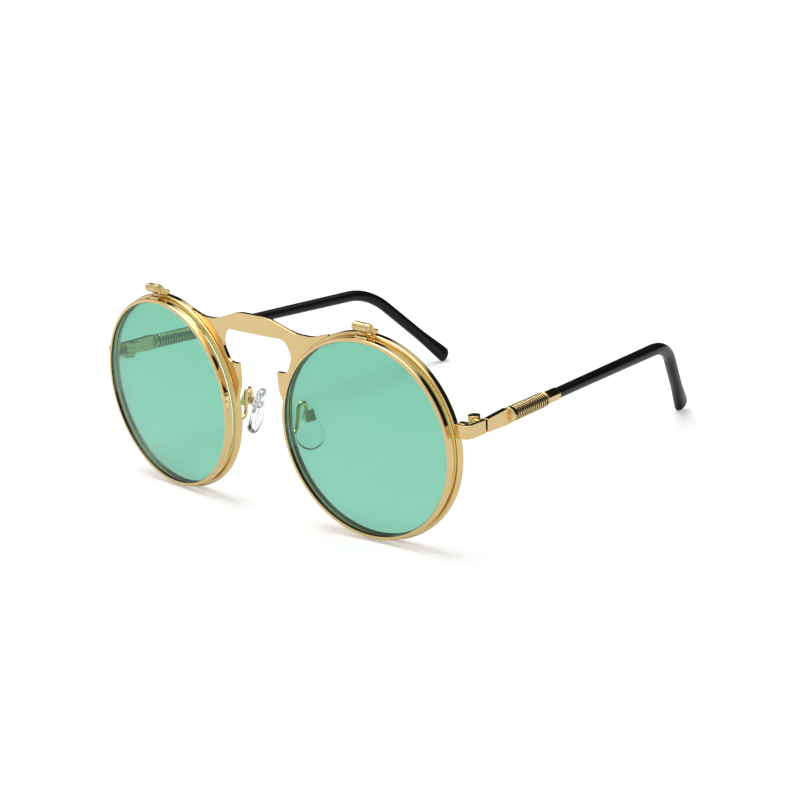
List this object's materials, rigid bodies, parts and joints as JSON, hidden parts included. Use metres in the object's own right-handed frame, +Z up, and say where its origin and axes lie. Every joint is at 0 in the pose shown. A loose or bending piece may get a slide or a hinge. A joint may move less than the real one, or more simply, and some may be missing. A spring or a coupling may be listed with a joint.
{
  "type": "flip up sunglasses",
  "caption": "Round gold metal eyeglass frame with clear lenses and tinted lenses hinged above them, folding temples with a wound coil and black ear sleeves.",
  "frame": {"origin": "on the surface that the glasses stand on, under the middle of their whole length and width", "axes": "+X to the wearer's left, -Y forward out of the lenses, +Z up"},
  "size_m": [0.1381, 0.1454, 0.0589],
  "materials": {
    "gold": "polished gold plate",
    "screw": "polished gold plate, slotted",
    "coil": "polished gold wire",
    "tinted_lens": "transparent green tint",
    "clear_lens": "clear",
    "sleeve": "black, glossy",
    "pad": "clear, soft"
  },
  "bodies": {
    "front": {"bridge_plate": "gold", "fixed_rim_left": "gold", "fixed_rim_right": "gold", "fixed_lens_left": "clear_lens", "fixed_lens_right": "clear_lens", "flip_base_left": "gold", "flip_base_right": "gold", "flip_screw_left": "screw", "flip_screw_right": "screw", "end_piece_left": "gold", "end_piece_right": "gold", "lock_blocks_left": "gold", "lock_blocks_right": "gold", "lock_screw_left": "screw", "lock_screw_right": "screw", "front_leaf_left": "gold", "front_leaf_right": "gold", "temple_screw_left": "screw", "temple_screw_right": "screw", "pad_arm_left": "gold", "pad_arm_right": "gold", "pad_screw_left": "screw", "pad_screw_right": "screw"},
    "flip_left": {"flip_rim_left": "gold", "flip_lens_left": "tinted_lens", "flip_bracket_left": "gold"},
    "temple_left": {"temple_leaf_left": "gold", "temple_lug_left": "gold", "temple_coil_left": "coil", "temple_ferrule_left": "gold", "temple_sleeve_left": "sleeve"},
    "pad_left": {"nose_pad_left": "pad"},
    "flip_right": {"flip_rim_right": "gold", "flip_lens_right": "tinted_lens", "flip_bracket_right": "gold"},
    "temple_right": {"temple_leaf_right": "gold", "temple_lug_right": "gold", "temple_coil_right": "coil", "temple_ferrule_right": "gold", "temple_sleeve_right": "sleeve"},
    "pad_right": {"nose_pad_right": "pad"}
  },
  "joints": [
    {"name": "flip_left_lift", "type": "hinge", "parent": "front", "child": "flip_left", "pos_m": [0.03916, -0.07003, 0.05762], "axis": [-0.9946, -0.0894, 0.052], "range_deg": [0, 105]},
    {"name": "flip_right_lift", "type": "hinge", "parent": "front", "child": "flip_right", "pos_m": [-0.03916, -0.07003, 0.05762], "axis": [-0.9946, 0.0894, -0.052], "range_deg": [0, 105]},
    {"name": "temple_left_fold", "type": "hinge", "parent": "front", "child": "temple_left", "pos_m": [0.06452, -0.05806, 0.03357], "axis": [0, 0, 1], "range_deg": [-9.4, 77.6]},
    {"name": "temple_right_fold", "type": "hinge", "parent": "front", "child": "temple_right", "pos_m": [-0.06452, -0.05806, 0.03357], "axis": [0, 0, -1], "range_deg": [0, 75]},
    {"name": "pad_left_rock", "type": "hinge", "parent": "front", "child": "pad_left", "pos_m": [0.01132, -0.06232, 0.02792], "axis": [0.3918, 0.9105, 0.1321], "range_deg": [-10, 10]},
    {"name": "pad_right_rock", "type": "hinge", "parent": "front", "child": "pad_right", "pos_m": [-0.01132, -0.06232, 0.02792], "axis": [0.3918, -0.9105, -0.1321], "range_deg": [-10, 10]}
  ]
}
